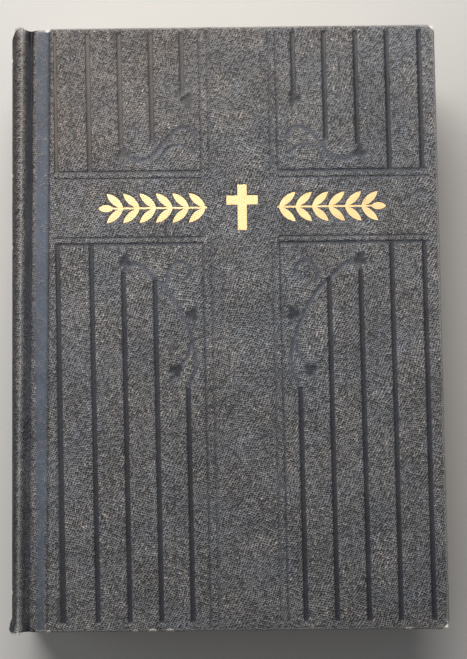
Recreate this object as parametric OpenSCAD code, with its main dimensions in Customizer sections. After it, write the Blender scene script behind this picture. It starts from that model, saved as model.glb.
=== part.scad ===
// A thick case-bound book with a stamped cloth cover, lying closed on its back board.
// X runs from the spine to the fore edge, Y from tail to head, Z up through the thickness.
// The origin is the middle of the footprint, on the face it rests on. Units are millimetres.

/* [Book] */
// Overall width, from the round of the spine to the fore edge
book_w = 140; // [120:1:165]
// Overall height, from tail to head
book_h = 197; // [170:1:230]
// Overall thickness of the closed book
book_t = 40; // [34:1:52]
// Distance from the round of the spine to the line the covers fold on
spine_bulge = 5; // [4.5:0.5:6]

/* [Case] */
// Thickness of the two boards
board_t = 2.4; // [1.8:0.1:3]
// Thickness of the book cloth
cloth_t = 0.5; // [0.4:0.05:0.6]
// Width of the cloth groove between the spine and a board
groove_w = 8; // [5:0.5:9]
// Depth of that groove below the face of the cover
groove_d = 2; // [1:0.1:2.2]
// How far the cloth is turned in over the inside of a board
turn_in = 15; // [8:1:20]
// How far the boards stand beyond the leaves
square = 3; // [2:0.5:5]

/* [Leaves] */
// Thickness of an endpaper
paper_t = 0.2; // [0.15:0.05:0.3]
// Sewn sections in each half of the book
half_sections = 6; // [4:1:7]
// Depth of the hollow fore edge at its middle
fore_hollow = 2.6; // [1:0.2:4]

/* [Stamping] */
// Depth of the lines pressed into the cloth
stamp_d = 0.22; // [0.1:0.02:0.3]
// Distance between the wide lines
rib_pitch = 10.4; // [9:0.2:11]
// Width of a wide line
rib_w = 1.3; // [0.8:0.1:2]
// Width of a thin line
rule_w = 0.5; // [0.3:0.1:0.8]
// Width of the plain upright band down the middle
band_w = 25; // [16:0.2:26]
// Height of the plain band that carries the gilding
title_h = 20; // [16:1:26]
// Height of that band's middle above the middle of the cover
title_y = 37.5; // [20:0.5:60]

/* [Gilding] */
// Overall width of the gilded ornament
gilt_w = 94; // [80:1:100]
// Height of the gilded cross
gilt_h = 15; // [10:1:18]

/* [Hidden] */
gap = 0.15;                      // air between pieces that slide over each other
overlap = 0.01;                  // how far a cut runs past the face it starts from
fold_x = -book_w / 2 + spine_bulge;
board_x0 = fold_x + groove_w;
board_x1 = book_w / 2 - cloth_t;
board_cx = (board_x0 - cloth_t + book_w / 2) / 2;
mull_t = 0.2;
case_t = board_t + 2 * cloth_t + paper_t;       // board, cloth both sides and pastedown
leaf_z = case_t + gap;                          // underside of the back flyleaf
block_z0 = leaf_z + paper_t + gap;
block_z1 = book_t - block_z0;
middle_z = book_t / 2;
half_gap = 0.12;                                // from the middle plane to each half
section_t = (middle_z - half_gap - block_z0) / half_sections;
block_h = book_h - 2 * (cloth_t + square);
block_x1 = board_x1 + cloth_t - square;
leaf_x0 = fold_x + 0.4;

// the round of the spine, from outside in
arc_half = middle_z - 4;                        // half the height of the rounded stretch
arc_rise = 0.6;                                 // how far it stands out over that stretch
glue = 0.05;                                    // between the layers on the back
inlay_t = 0.8;
lining_t = 0.2;
tape_t = 0.3;
hollow = 0.3;                                   // air between the inlay and the lining
inlay_out = cloth_t + glue;
inlay_in = inlay_out + inlay_t;
lining_out = inlay_in + hollow;
lining_in = lining_out + lining_t;
mull_out = lining_in + glue;
mull_in = mull_out + mull_t;
tape_out = mull_in + glue;
tape_in = tape_out + tape_t;
back_in = tape_in + 0.1;                        // backs of the sections

function section_name(i) = str("text_section_", i < 10 ? "0" : "", i);

// radius of a circular arc from half its chord and its rise
function arc_r(half, rise) = (half * half + rise * rise) / (2 * rise);

// x of the spine's outer curve at height z, moved in by d
spine_r = arc_r(arc_half, arc_rise);
function curve_x(z, d) = -book_w / 2 + spine_r - sqrt(pow(spine_r - d, 2) - pow(z - middle_z, 2));

// x of the fore edge at height z
fore_r = arc_r(middle_z - block_z0, fore_hollow);
function fore_x(z) = block_x1 - fore_hollow + fore_r - sqrt(fore_r * fore_r - pow(z - middle_z, 2));

// points along the spine's curve from z0 to z1, moved in by d
function curve_points(z0, z1, d, n = 14) = [for (i = [0:n]) let (z = z0 + (z1 - z0) * i / n) [curve_x(z, d), z]];

function reversed(p) = [for (i = [len(p) - 1:-1:0]) p[i]];

// a curved strip between depths d0 and d1 of the spine's curve, as long as the book is high
module curved_strip(z0, z1, d0, d1, y0, y1)
    upright(y0, y1)
        polygon(concat(curve_points(z0, z1, d0), reversed(curve_points(z0, z1, d1))));

// extrudes an outline drawn in X and Z along Y
module upright(y0, y1)
    translate([0, y1, 0])
        rotate([90, 0, 0])
            linear_extrude(y1 - y0)
                children();

module slab(x0, x1, y_half, z0, z1)
    translate([x0, -y_half, z0])
        cube([x1 - x0, 2 * y_half, z1 - z0]);

// turns a piece of the front cover into the back cover's
module for_back()
    translate([0, 0, book_t])
        mirror([0, 0, 1])
            children();

// ---- the case ----

board_y = book_h / 2 - cloth_t;
board_z0 = book_t - cloth_t - board_t;          // inner face of the front board
cloth_z0 = board_z0 - cloth_t;                  // inner face of the turned-in cloth

module board()
    color("gainsboro")
        slab(board_x0, board_x1, board_y, board_z0, book_t - cloth_t);

// cloth over the face and round three edges of the board, with the half of the groove next to the board
module cover_cloth() {
    groove_z1 = book_t - groove_d;
    difference() {
        union() {
            slab(board_x0 - cloth_t, book_w / 2, book_h / 2, cloth_z0, book_t);
            slab(fold_x + 0.2, board_x0, book_h / 2, groove_z1 - cloth_t, groove_z1);
        }
        slab(board_x0, board_x1, board_y, board_z0, book_t - cloth_t);
        slab(board_x0 - 2 * cloth_t, book_w / 2 - turn_in, book_h / 2 - turn_in, cloth_z0 - 1, board_z0 + overlap);
        slab(board_x0 - 2 * cloth_t, board_x0, book_h / 2 + 1, cloth_z0 - 1, groove_z1 - cloth_t);
    }
}

module pastedown()
    color("antiquewhite")
        difference() {
            union() {
                slab(leaf_x0, book_w / 2 - square, block_h / 2, cloth_z0 - paper_t, cloth_z0);
                slab(board_x0, book_w / 2 - turn_in, book_h / 2 - turn_in, cloth_z0 - paper_t, board_z0);
            }
            mull_flap_shape();
        }

mull_reach = 25;                                // how far the flap runs over the board
mull_short = 8;                                 // how much it stops short of the turned-in cloth

module mull_flap_shape()
    slab(board_x0, board_x0 + mull_reach, book_h / 2 - turn_in - mull_short, board_z0 - mull_t, board_z0);

module mull_flap()
    color("wheat")
        mull_flap_shape();

module flyleaf()
    color("antiquewhite")
        slab(leaf_x0, block_x1, block_h / 2, book_t - leaf_z - paper_t, book_t - leaf_z);

// ---- lines stamped into the front ----

rib_count = 5;
first_rib = 5.8;                                // from the plain band to the nearest wide line
panel_end = 2.6;                                // plain margin at the head and tail
border_w = rule_w * 1.5;                        // line down each side of the plain band
stamp_x = board_cx - 0.5;                       // the stamp is set a little towards the spine
rule_gap = 2.2;                                 // from a rule to the thin one beside it
title_y0 = title_y - title_h / 2;
title_y1 = title_y + title_h / 2;
upper_y1 = book_h / 2 - panel_end;
lower_y0 = -book_h / 2 + panel_end;

// one pressed line, w wide, centred on x, from y0 to y1
module pressed_upright(x, y0, y1, w)
    translate([x - w / 2, y0, book_t - stamp_d])
        cube([w, y1 - y0, 1]);

module pressed_level(y, x0, x1, w)
    translate([x0, y - w / 2, book_t - stamp_d])
        cube([x1 - x0, w, 1]);

// the lines of one corner panel, to the right of the plain band, from y0 to y1
module panel_lines(y0, y1, rule_y, side) {
    for (i = [0:rib_count - 1])
        pressed_upright(stamp_x + side * (band_w / 2 + first_rib + i * rib_pitch), y0, y1, rib_w);
    for (i = [0:rib_count - 2])
        pressed_upright(stamp_x + side * (band_w / 2 + first_rib + (i + 0.5) * rib_pitch), y0, y1, rule_w / 2);
    pressed_upright(stamp_x + side * band_w / 2, y0, y1, border_w);
    pressed_upright(stamp_x + side * (band_w / 2 - rule_gap), y0, y1, rule_w);
    x_in = stamp_x + side * band_w / 2;
    x_out = stamp_x + side * (band_w / 2 + first_rib + (rib_count - 1) * rib_pitch + rib_w / 2);
    for (line = [[0, rib_w], [rule_gap * rule_y, rule_w]])
        pressed_level((rule_y > 0 ? y1 : y0) + line[0], min(x_in, x_out), max(x_in, x_out), line[1]);
}

module stamped_lines()
    for (side = [-1, 1]) {
        panel_lines(title_y1 + rule_gap, upper_y1, -1, side);
        panel_lines(lower_y0, title_y0 - rule_gap, 1, side);
    }

// ---- gilding: a plain cross between two laurel sprays ----

leaf_pairs = 6;
leaf_w = 2.4;
leaf_angle = 42;                                // between a leaf and the stalk
leaf_reach = 1.35;                              // length of a leaf, in steps along the stalk
end_leaf = 5;                                   // length of the leaf at the tip
stalk_w = 0.6;
cross_gap = 4;                                  // from the cross to a spray
arm_w = 0.2;                                    // width of the cross's bars, in heights of the cross
spray_w = (gilt_w - gilt_h) / 2 - cross_gap;
foil_z0 = book_t - 0.1;
foil_z1 = book_t - 0.01;

module gilt_leaf(l, w) {
    r = arc_r(l / 2, w / 2);
    intersection() {
        translate([l / 2, r - w / 2]) circle(r, $fn = 64);
        translate([l / 2, w / 2 - r]) circle(r, $fn = 64);
    }
}

module gilt_spray() {
    step = spray_w / (leaf_pairs + 0.6);
    translate([0, -stalk_w / 2]) square([spray_w - end_leaf + 1, stalk_w]);
    for (i = [0:leaf_pairs - 1])
        for (s = [-1, 1])
            translate([0.5 + i * step, 0]) rotate(s * leaf_angle) gilt_leaf(step * leaf_reach, leaf_w);
    translate([spray_w - end_leaf, 0]) gilt_leaf(end_leaf, leaf_w);
}

module gilt_cross() {
    square([gilt_h * arm_w, gilt_h], center = true);
    translate([0, gilt_h * 0.16]) square([gilt_h * 0.68, gilt_h * arm_w], center = true);
}

module gilt_shape(z0, z1)
    translate([stamp_x, title_y, z0])
        linear_extrude(z1 - z0) {
            gilt_cross();
            for (side = [0, 1])
                mirror([side, 0]) translate([gilt_h / 2 + cross_gap, 0]) gilt_spray();
        }

module front_cloth()
    color("darkslategray")
        difference() {
            cover_cloth();
            stamped_lines();
            gilt_shape(foil_z0, book_t + 1);
        }

module back_cloth()
    color("darkslategray")
        for_back()
            cover_cloth();

module gilt_ornament()
    color("gold")
        gilt_shape(foil_z0, foil_z1);

// ---- the spine ----

shoulder_z = book_t - groove_d - cloth_t;       // foot of the shoulder, in the groove

// the skin of the spine's shoulder at the front, d in from its outer face: a quarter of an ellipse up to the
// ridge, and a short slope down from it into the groove
ridge_x = fold_x - 1.4;
ridge_z = book_t - 0.1;
shoulder_w = ridge_x - curve_x(middle_z + arc_half, 0);
shoulder_h = ridge_z - (middle_z + arc_half);
function shoulder(d) = concat(
    [for (a = [0:15:90]) [ridge_x - (shoulder_w - d) * cos(a), middle_z + arc_half + (shoulder_h - d) * sin(a)]],
    [[fold_x - 0.65 - d * 0.5, book_t - 0.6 - d * 0.8],
     [fold_x - 0.2 - d * 0.9, shoulder_z + 0.3]]);

// the spine's outline, d in from its outer face, from the foot of one shoulder to the other
function spine_path(d) = concat(
    reversed([for (p = shoulder(d)) [p[0], book_t - p[1]]]),
    curve_points(middle_z - arc_half + 2, middle_z + arc_half - 2, d),
    shoulder(d));

module spine_cloth()
    color("darkslategray")
        upright(-book_h / 2, book_h / 2)
            polygon(concat(spine_path(0), reversed(spine_path(cloth_t))));

module spine_inlay()
    color("tan")
        curved_strip(4, book_t - 4, inlay_out, inlay_in, -board_y, board_y);

module spine_lining()
    color("burlywood")
        curved_strip(block_z0 + 1, block_z1 - 1, lining_out, lining_in, -block_h / 2 + 2, block_h / 2 - 2);

module spine_mull()
    color("wheat")
        curved_strip(block_z0 + 0.5, block_z1 - 0.5, mull_out, mull_in, -block_h / 2 + 10, block_h / 2 - 10);

tape_w = 12;
tape_pitch = 40;

module sewing_tapes()
    color("linen")
        for (i = [-1.5:1:1.5])
            curved_strip(block_z0 + 0.5, block_z1 - 0.5, tape_out, tape_in,
                         i * tape_pitch - tape_w / 2, i * tape_pitch + tape_w / 2);

kettle_in = 14;                                 // from the head or tail of the leaves to the stitches
thread_w = 0.8;

// the kettle stitches near the head and tail, which link the sections
module sewing_thread()
    color("ivory")
        for (y = [kettle_in - block_h / 2, block_h / 2 - kettle_in])
            curved_strip(block_z0 + 0.8, block_z1 - 0.8, tape_out, tape_in, y - thread_w / 2, y + thread_w / 2);

band_h = 1.6;
band_reach = 2.4;                               // how far the bead lies over the leaves
band_skirt = 1.9;                               // how far it is glued down over their backs

// a beaded edge over the head or tail of the leaves' backs
module end_band(side) {
    y0 = side * block_h / 2 + (side > 0 ? gap : -gap - band_h);
    color("whitesmoke")
        union() {
            curved_strip(block_z0 + 0.4, block_z1 - 0.4, lining_out, lining_out + band_reach, y0, y0 + band_h);
            curved_strip(block_z0 + 0.4, block_z1 - 0.4, lining_out, lining_in,
                         side > 0 ? y0 - band_skirt : y0, side > 0 ? y0 + band_h : y0 + band_h + band_skirt);
        }
}

// ---- the leaves ----

// one sewn section: a round fold at the back and its part of the hollow fore edge
module text_section(i) {
    upper = i > half_sections;
    z0 = block_z0 + (i - 1) * section_t + (upper ? 2 * half_gap : 0);
    z1 = z0 + section_t;
    r = section_t / 2;
    back_x = curve_x((z0 + z1) / 2, back_in) + r;
    color("oldlace")
        upright(-block_h / 2, block_h / 2)
            polygon(concat(
                [for (a = [90:15:270]) [back_x + r * cos(a), (z0 + z1) / 2 + r * sin(a)]],
                [for (k = [0:4]) let (z = z0 + section_t * k / 4) [fore_x(z), z]]));
}

board();  // front_board
front_cloth();
pastedown();  // front_pastedown
mull_flap();  // front_mull_flap
gilt_ornament();
flyleaf();  // front_flyleaf
for_back() board();  // back_board
back_cloth();
for_back() pastedown();  // back_pastedown
for_back() mull_flap();  // back_mull_flap
for_back() flyleaf();  // back_flyleaf
spine_cloth();
spine_inlay();
spine_lining();
spine_mull();
sewing_tapes();
sewing_thread();
end_band(1);  // head_band
end_band(-1);  // tail_band
for (i = [1:2 * half_sections])
    text_section(i);
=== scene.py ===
import bpy
import math
import random
from bisect import bisect_left
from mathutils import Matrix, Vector, noise


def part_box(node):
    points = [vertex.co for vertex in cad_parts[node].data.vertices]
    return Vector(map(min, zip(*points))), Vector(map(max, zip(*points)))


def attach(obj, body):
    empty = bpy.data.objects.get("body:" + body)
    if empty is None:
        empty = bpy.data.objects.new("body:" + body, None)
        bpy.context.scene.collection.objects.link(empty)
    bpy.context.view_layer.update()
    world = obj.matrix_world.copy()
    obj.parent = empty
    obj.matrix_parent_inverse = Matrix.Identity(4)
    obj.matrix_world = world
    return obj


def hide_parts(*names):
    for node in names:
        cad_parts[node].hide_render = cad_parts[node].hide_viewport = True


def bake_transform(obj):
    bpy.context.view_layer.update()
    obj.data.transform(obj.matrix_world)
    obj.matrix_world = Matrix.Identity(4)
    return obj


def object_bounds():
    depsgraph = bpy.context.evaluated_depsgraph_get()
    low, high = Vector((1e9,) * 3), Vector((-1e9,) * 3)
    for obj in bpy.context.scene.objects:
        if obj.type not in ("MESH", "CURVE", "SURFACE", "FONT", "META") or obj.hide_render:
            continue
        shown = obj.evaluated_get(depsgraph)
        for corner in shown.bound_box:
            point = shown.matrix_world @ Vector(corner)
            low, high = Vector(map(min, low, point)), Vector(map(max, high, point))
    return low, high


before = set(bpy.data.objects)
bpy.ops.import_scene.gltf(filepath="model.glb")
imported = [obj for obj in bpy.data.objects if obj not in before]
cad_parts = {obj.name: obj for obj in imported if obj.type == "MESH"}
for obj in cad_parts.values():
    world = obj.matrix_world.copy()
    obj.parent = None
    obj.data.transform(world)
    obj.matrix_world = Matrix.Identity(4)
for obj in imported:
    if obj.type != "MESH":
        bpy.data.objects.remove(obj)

mm = 0.001
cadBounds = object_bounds()
caseLow, caseHigh = [corner / mm for corner in cadBounds]
thickness = caseHigh.z
halfHeight = caseHigh.y
foreX = caseHigh.x
foldSetback = 5
foldX = caseLow.x + foldSetback        # the covers turn about this line
pasteLow, pasteHigh = [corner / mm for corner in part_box("front_pastedown")]
leafLow, leafHigh = [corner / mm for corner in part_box("front_flyleaf")]
leafForeX, leafHalfY = leafHigh.x, leafHigh.y
giltLow, giltHigh = [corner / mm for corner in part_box("gilt_ornament")]
stampX = (giltLow.x + giltHigh.x) / 2
titleY = (giltLow.y + giltHigh.y) / 2
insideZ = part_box("front_cloth")[0].z / mm   # inner face of the turned-in cloth


def smoothStep(low, high, value):
    t = max(0.0, min(1.0, (value - low) / (high - low)))
    return t * t * (3 - 2 * t)


def mixed(a, b, t):
    return a + (b - a) * t


def wobble(x, y, z, size, seed=0.0):
    return noise.noise(Vector((x / size + seed, y / size - seed, z / size + 2 * seed)))


def spread(low, high, step, stops=()):
    # places from low to high, no more than about step apart, that include every stop
    wanted = sorted({low, high} | {s for s in stops if low < s < high})
    found = [wanted[0]]
    for a, b in zip(wanted, wanted[1:]):
        count = max(1, round((b - a) / step))
        found += [a + (b - a) * k / count for k in range(1, count + 1)]
    return found


def smoothCurve(knots, perSpan):
    found = []
    ends = [knots[0]] + list(knots) + [knots[-1]]
    for k in range(len(knots) - 1):
        a, b, c, d = ends[k:k + 4]
        for n in range(perSpan):
            t = n / perSpan
            found.append(tuple(
                0.5 * (2 * q + (r - p) * t + (2 * p - 5 * q + 4 * r - s) * t * t
                       + (3 * q - p - 3 * r + s) * t ** 3)
                for p, q, r, s in zip(a, b, c, d)))
    found.append(tuple(knots[-1]))
    return found


def makePiece(name, points, faces, material, body=None, replaces=(), marks=None,
              unfolded=None):
    mesh = bpy.data.meshes.new(name)
    mesh.from_pydata([(x * mm, y * mm, z * mm) for x, y, z in points], [], faces)
    rest = mesh.attributes.new("restMm", "FLOAT_VECTOR", "POINT")
    rest.data.foreach_set("vector", [c for p in (unfolded or points) for c in p])
    for mark, values in (marks or {}).items():
        layer = mesh.attributes.new(mark, "FLOAT", "POINT")
        layer.data.foreach_set("value", values)
    mesh.shade_smooth()
    mesh.materials.append(material)
    piece = bpy.data.objects.new(name, mesh)
    bpy.context.collection.objects.link(piece)
    if body:
        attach(piece, body)
    if replaces:
        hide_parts(*replaces)
    return piece


def gridFaces(columns, rows, flip=False):
    faces = []
    for i in range(columns - 1):
        for j in range(rows - 1):
            a = i * rows + j
            quad = (a, a + rows, a + rows + 1, a + 1)
            faces.append(quad[::-1] if flip else quad)
    return faces


def blockShell(nx, ny, nz, place, flip=False):
    # the outer skin of a block of nx by ny by nz points
    index, points, faces = {}, [], []
    for i in range(nx):
        for j in range(ny):
            for k in range(nz):
                if i in (0, nx - 1) or j in (0, ny - 1) or k in (0, nz - 1):
                    index[i, j, k] = len(points)
                    points.append(place(i, j, k))

    def side(na, nb, at, turned):
        for a in range(na - 1):
            for b in range(nb - 1):
                ring = (at(a, b), at(a + 1, b), at(a + 1, b + 1), at(a, b + 1))
                quad = [index[corner] for corner in ring]
                faces.append(quad[::-1] if turned != flip else quad)

    side(nx, ny, lambda a, b: (a, b, nz - 1), False)
    side(nx, ny, lambda a, b: (a, b, 0), True)
    side(ny, nz, lambda a, b: (nx - 1, a, b), False)
    side(ny, nz, lambda a, b: (0, a, b), True)
    side(nx, nz, lambda a, b: (a, 0, b), False)
    side(nx, nz, lambda a, b: (a, ny - 1, b), True)
    return points, faces


def flipped(point, back):
    # the back cover is the front one turned over
    return (point[0], point[1], thickness - point[2]) if back else tuple(point)


def feed(tree, made, inputs):
    # each input takes a link where it is given a socket, and a value otherwise
    for key, value in inputs.items():
        if isinstance(value, bpy.types.NodeSocket):
            tree.links.new(value, made.inputs[key])
        else:
            made.inputs[key].default_value = value


def node(tree, kind, inputs=None, **settings):
    made = tree.nodes.new(kind)
    for key, value in settings.items():
        setattr(made, key, value)
    feed(tree, made, inputs or {})
    return made


def maths(tree, operation, a, b=0.0, clamp=False):
    return node(tree, "ShaderNodeMath", {0: a, 1: b}, operation=operation, use_clamp=clamp).outputs[0]


def times(tree, a, b, clamp=False):
    return maths(tree, "MULTIPLY", a, b, clamp)


def vectorMaths(tree, operation, a, b):
    return node(tree, "ShaderNodeVectorMath", {0: a, 1: b}, operation=operation).outputs[0]


def scaledBy(tree, vector, factor):
    made = node(tree, "ShaderNodeVectorMath", {0: vector}, operation="SCALE")
    feed(tree, made, {"Scale": factor})
    return made.outputs[0]


def remap(tree, value, low, high, outLow=0.0, outHigh=1.0):
    return node(tree, "ShaderNodeMapRange",
                {"Value": value, "From Min": low, "From Max": high, "To Min": outLow, "To Max": outHigh},
                interpolation_type="SMOOTHSTEP").outputs[0]


def mixColour(tree, factor, a, b, blend="MIX"):
    return node(tree, "ShaderNodeMix", {0: factor, 6: a, 7: b},
                data_type="RGBA", blend_type=blend).outputs[2]


def shaded(tree, colour, value):
    # a colour made lighter or darker by a plain value
    grey = node(tree, "ShaderNodeCombineColor", {0: value, 1: value, 2: value}).outputs[0]
    return mixColour(tree, 1.0, colour, grey, "MULTIPLY")


def noiseOf(tree, place, scale, detail=2.0, roughness=0.5):
    return node(tree, "ShaderNodeTexNoise",
                {"Vector": place, "Scale": scale, "Detail": detail, "Roughness": roughness})


def mark(tree, name, output="Fac"):
    return node(tree, "ShaderNodeAttribute", attribute_name=name).outputs[output]


def newGroup(name, inputs, outputs):
    group = bpy.data.node_groups.new(name, "ShaderNodeTree")
    for title, kind, value in inputs:
        socket = group.interface.new_socket(title, in_out="INPUT", socket_type=kind)
        if value is not None:
            socket.default_value = value
    for title, kind in outputs:
        group.interface.new_socket(title, in_out="OUTPUT", socket_type=kind)
    start = group.nodes.new("NodeGroupInput")
    end = group.nodes.new("NodeGroupOutput")
    return group, start.outputs, end.inputs


floatKind, vectorKind = "NodeSocketFloat", "NodeSocketVector"


def clothGrainGroup():
    # rows of small pebbles that drift, as pressed into book cloth
    group, given, out = newGroup(
        "clothGrain",
        [("Place", vectorKind, None), ("Pitch", floatKind, 0.8), ("Drift", floatKind, 6.0)],
        [("Height", floatKind), ("Pit", floatKind), ("WornGlint", floatKind), ("Chance", floatKind)])
    link = group.links.new
    drift = noiseOf(group, given["Place"], 0.055, 2.5)
    shift = vectorMaths(group, "SUBTRACT", drift.outputs["Color"], (0.5, 0.5, 0.5))
    moved = vectorMaths(group, "ADD", given["Place"], scaledBy(group, shift, given["Drift"]))
    slant = {"Vector": moved, "Rotation": (0.0, 0.0, math.radians(20)), "Scale": (0.9, 1.12, 1.0)}
    turned = node(group, "ShaderNodeMapping", slant).outputs[0]
    cells = scaledBy(group, turned, maths(group, "DIVIDE", 1.0, given["Pitch"]))
    pebble = node(group, "ShaderNodeTexVoronoi", {"Vector": cells, "Scale": 1.0, "Randomness": 0.3},
                  feature="F1", voronoi_dimensions="2D")
    fine = noiseOf(group, given["Place"], 3.4, 2.0)
    crown = remap(group, pebble.outputs["Distance"], 0.08, 0.5)
    link(maths(group, "ADD", crown, times(group, fine.outputs["Fac"], 0.25)), out["Height"])
    link(remap(group, pebble.outputs["Distance"], 0.10, 0.38, 1.0, 0.0), out["Pit"])
    chance = node(group, "ShaderNodeSeparateColor", {0: pebble.outputs["Color"]})
    # worn pebble tops, lightened with a painted glint
    streaks = vectorMaths(group, "MULTIPLY", turned, (2.0, 0.85, 1.0))
    picked = remap(group, noiseOf(group, streaks, 1.0, 3.0, 0.75).outputs["Fac"], 0.53, 0.68)
    link(times(group, picked, crown), out["WornGlint"])
    link(chance.outputs[1], out["Chance"])
    return group


def edgeWearGroup():
    # turns a smooth wear mark into broken rubbing
    group, given, out = newGroup(
        "edgeWear",
        [("Place", vectorKind, None), ("Wear", floatKind, 0.0), ("Scale", floatKind, 0.9)],
        [("Rubbed", floatKind), ("Broken", floatKind)])
    link = group.links.new
    patch = noiseOf(group, given["Place"], given["Scale"], 4.0, 0.65).outputs["Fac"]
    total = maths(group, "ADD", given["Wear"], maths(group, "SUBTRACT", patch, 0.5))
    link(remap(group, total, 0.3, 0.85), out["Rubbed"])
    link(remap(group, total, 0.62, 0.78), out["Broken"])
    return group


def dustMottleGroup():
    # slow change of tone and small pale dust
    group, given, out = newGroup(
        "dustMottle",
        [("Place", vectorKind, None), ("Size", floatKind, 18.0)],
        [("Tone", floatKind), ("Warmth", floatKind), ("Dust", floatKind)])
    link = group.links.new
    scale = maths(group, "DIVIDE", 1.0, given["Size"])
    tone = noiseOf(group, given["Place"], scale, 3.0, 0.6)
    link(tone.outputs["Fac"], out["Tone"])
    shifted = vectorMaths(group, "ADD", given["Place"], (40.0, 15.0, 7.0))
    link(noiseOf(group, shifted, times(group, scale, 1.7), 2.0).outputs["Fac"], out["Warmth"])
    specks = noiseOf(group, given["Place"], 1.9, 2.0, 0.7).outputs["Fac"]
    link(remap(group, specks, 0.66, 0.78), out["Dust"])
    return group


def paperFibreGroup():
    group, given, out = newGroup(
        "paperFibre",
        [("Place", vectorKind, None), ("Scale", floatKind, 2.2)],
        [("Height", floatKind), ("Fleck", floatKind)])
    link = group.links.new
    stretched = vectorMaths(group, "MULTIPLY", given["Place"], (0.35, 1.0, 1.0))
    fibre = noiseOf(group, stretched, given["Scale"], 5.0, 0.65).outputs["Fac"]
    link(fibre, out["Height"])
    link(remap(group, fibre, 0.56, 0.72), out["Fleck"])
    return group


def weaveGroup():
    # plain over and under weave, for mull, tapes and end bands
    group, given, out = newGroup(
        "weave",
        [("Place", vectorKind, None), ("Pitch", floatKind, 0.8)],
        [("Height", floatKind), ("Hole", floatKind)])
    link = group.links.new
    scaled = scaledBy(group, given["Place"], maths(group, "DIVIDE", math.pi, given["Pitch"]))
    parts = node(group, "ShaderNodeSeparateXYZ", {0: scaled})
    across = maths(group, "ADD", parts.outputs["X"], parts.outputs["Z"])
    warp = maths(group, "ABSOLUTE", maths(group, "SINE", across))
    weft = maths(group, "ABSOLUTE", maths(group, "SINE", parts.outputs["Y"]))
    height = maths(group, "MAXIMUM", warp, weft)
    link(height, out["Height"])
    link(remap(group, height, 0.25, 0.6, 1.0, 0.0), out["Hole"])
    return group


groups = {"clothGrain": clothGrainGroup(), "edgeWear": edgeWearGroup(), "dustMottle": dustMottleGroup(),
          "paperFibre": paperFibreGroup(), "weave": weaveGroup()}


def place(tree, name, inputs):
    made = tree.nodes.new("ShaderNodeGroup")
    made.node_tree = groups[name]
    feed(tree, made, inputs)
    return made.outputs


def newMaterial(name):
    material = bpy.data.materials.new(name)
    material.use_nodes = True
    tree = material.node_tree
    shader = next(n for n in tree.nodes if n.type == "BSDF_PRINCIPLED")
    return material, tree, shader


def restPlace(tree):
    return mark(tree, "restMm", "Vector")


def framePlace(tree):
    # CAD nodes carry no rest mark, so their own coordinates stand in, in millimetres
    coords = node(tree, "ShaderNodeTexCoord").outputs["Object"]
    return vectorMaths(tree, "MULTIPLY", coords, (1000.0, 1000.0, 1000.0))


def addBump(tree, shader, height, distance, strength=1.0):
    bump = node(tree, "ShaderNodeBump", {"Height": height, "Distance": distance * mm, "Strength": strength})
    tree.links.new(bump.outputs[0], shader.inputs["Normal"])


clothLook = {
    "top": (0.150, 0.150, 0.154, 1),
    # painted shade in the pits of the grain
    "pitShade": (0.012, 0.014, 0.020, 1),
    # pale colours for dust and for worn pebble tops, the tops carrying a painted highlight
    "dustAndGlint": (0.68, 0.58, 0.50, 1),
    "coolWornGlint": (0.36, 0.42, 0.54, 1),
    # the stamped lines painted dark: partly the pressed cloth's own tone, partly painted shade in the sunk
    # lines
    "pressed": (0.025, 0.027, 0.034, 1),
    # the two faded colours carry real fading and a painted warm light and sheen towards the head
    "fadedAndLitPressed": (0.115, 0.100, 0.088, 1),
    "fadedAndLitTint": (1.04, 0.94, 0.86, 1),
    # the rubbed-smooth groove, with a painted bluish reflection
    "smoothWithReflection": (0.078, 0.094, 0.126, 1),
    "rubbed": (0.36, 0.35, 0.345, 1),
    "core": (0.74, 0.70, 0.62, 1),
    # painted shade, near black, laid in creases, the groove's valley and the gap at the head
    "paintedShade": (0.012, 0.012, 0.015, 1),
    "pitch": 0.70, "drift": 6.0, "depth": 0.22, "mottleSize": 20.0,
    "toneRange": (0.84, 1.16), "pebbleRange": (0.5, 1.4),
    "quietFrom": 40.0, "quietTo": 78.0,              # up the cover, where the grain is rubbed flatter
    "quietTone": 0.86, "quietPits": 0.58, "quietBump": 0.7,
    "tailShadeFrom": -95.0, "tailShadeTo": 45.0, "tailShadeTone": 0.84,      # painted shade: darker towards the tail, where the light falls off
    "fadedAndLitFrom": 40.0, "fadedAndLitTo": 135.0,             # faded cloth and a painted warm light and sheen, towards the head and the spine
    "wornGlintAmount": 0.8, "rubbedAmount": 0.75, "dustAmount": 0.10,
    "flatInLines": 0.92, "lineBump": 0.45,
}


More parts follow.
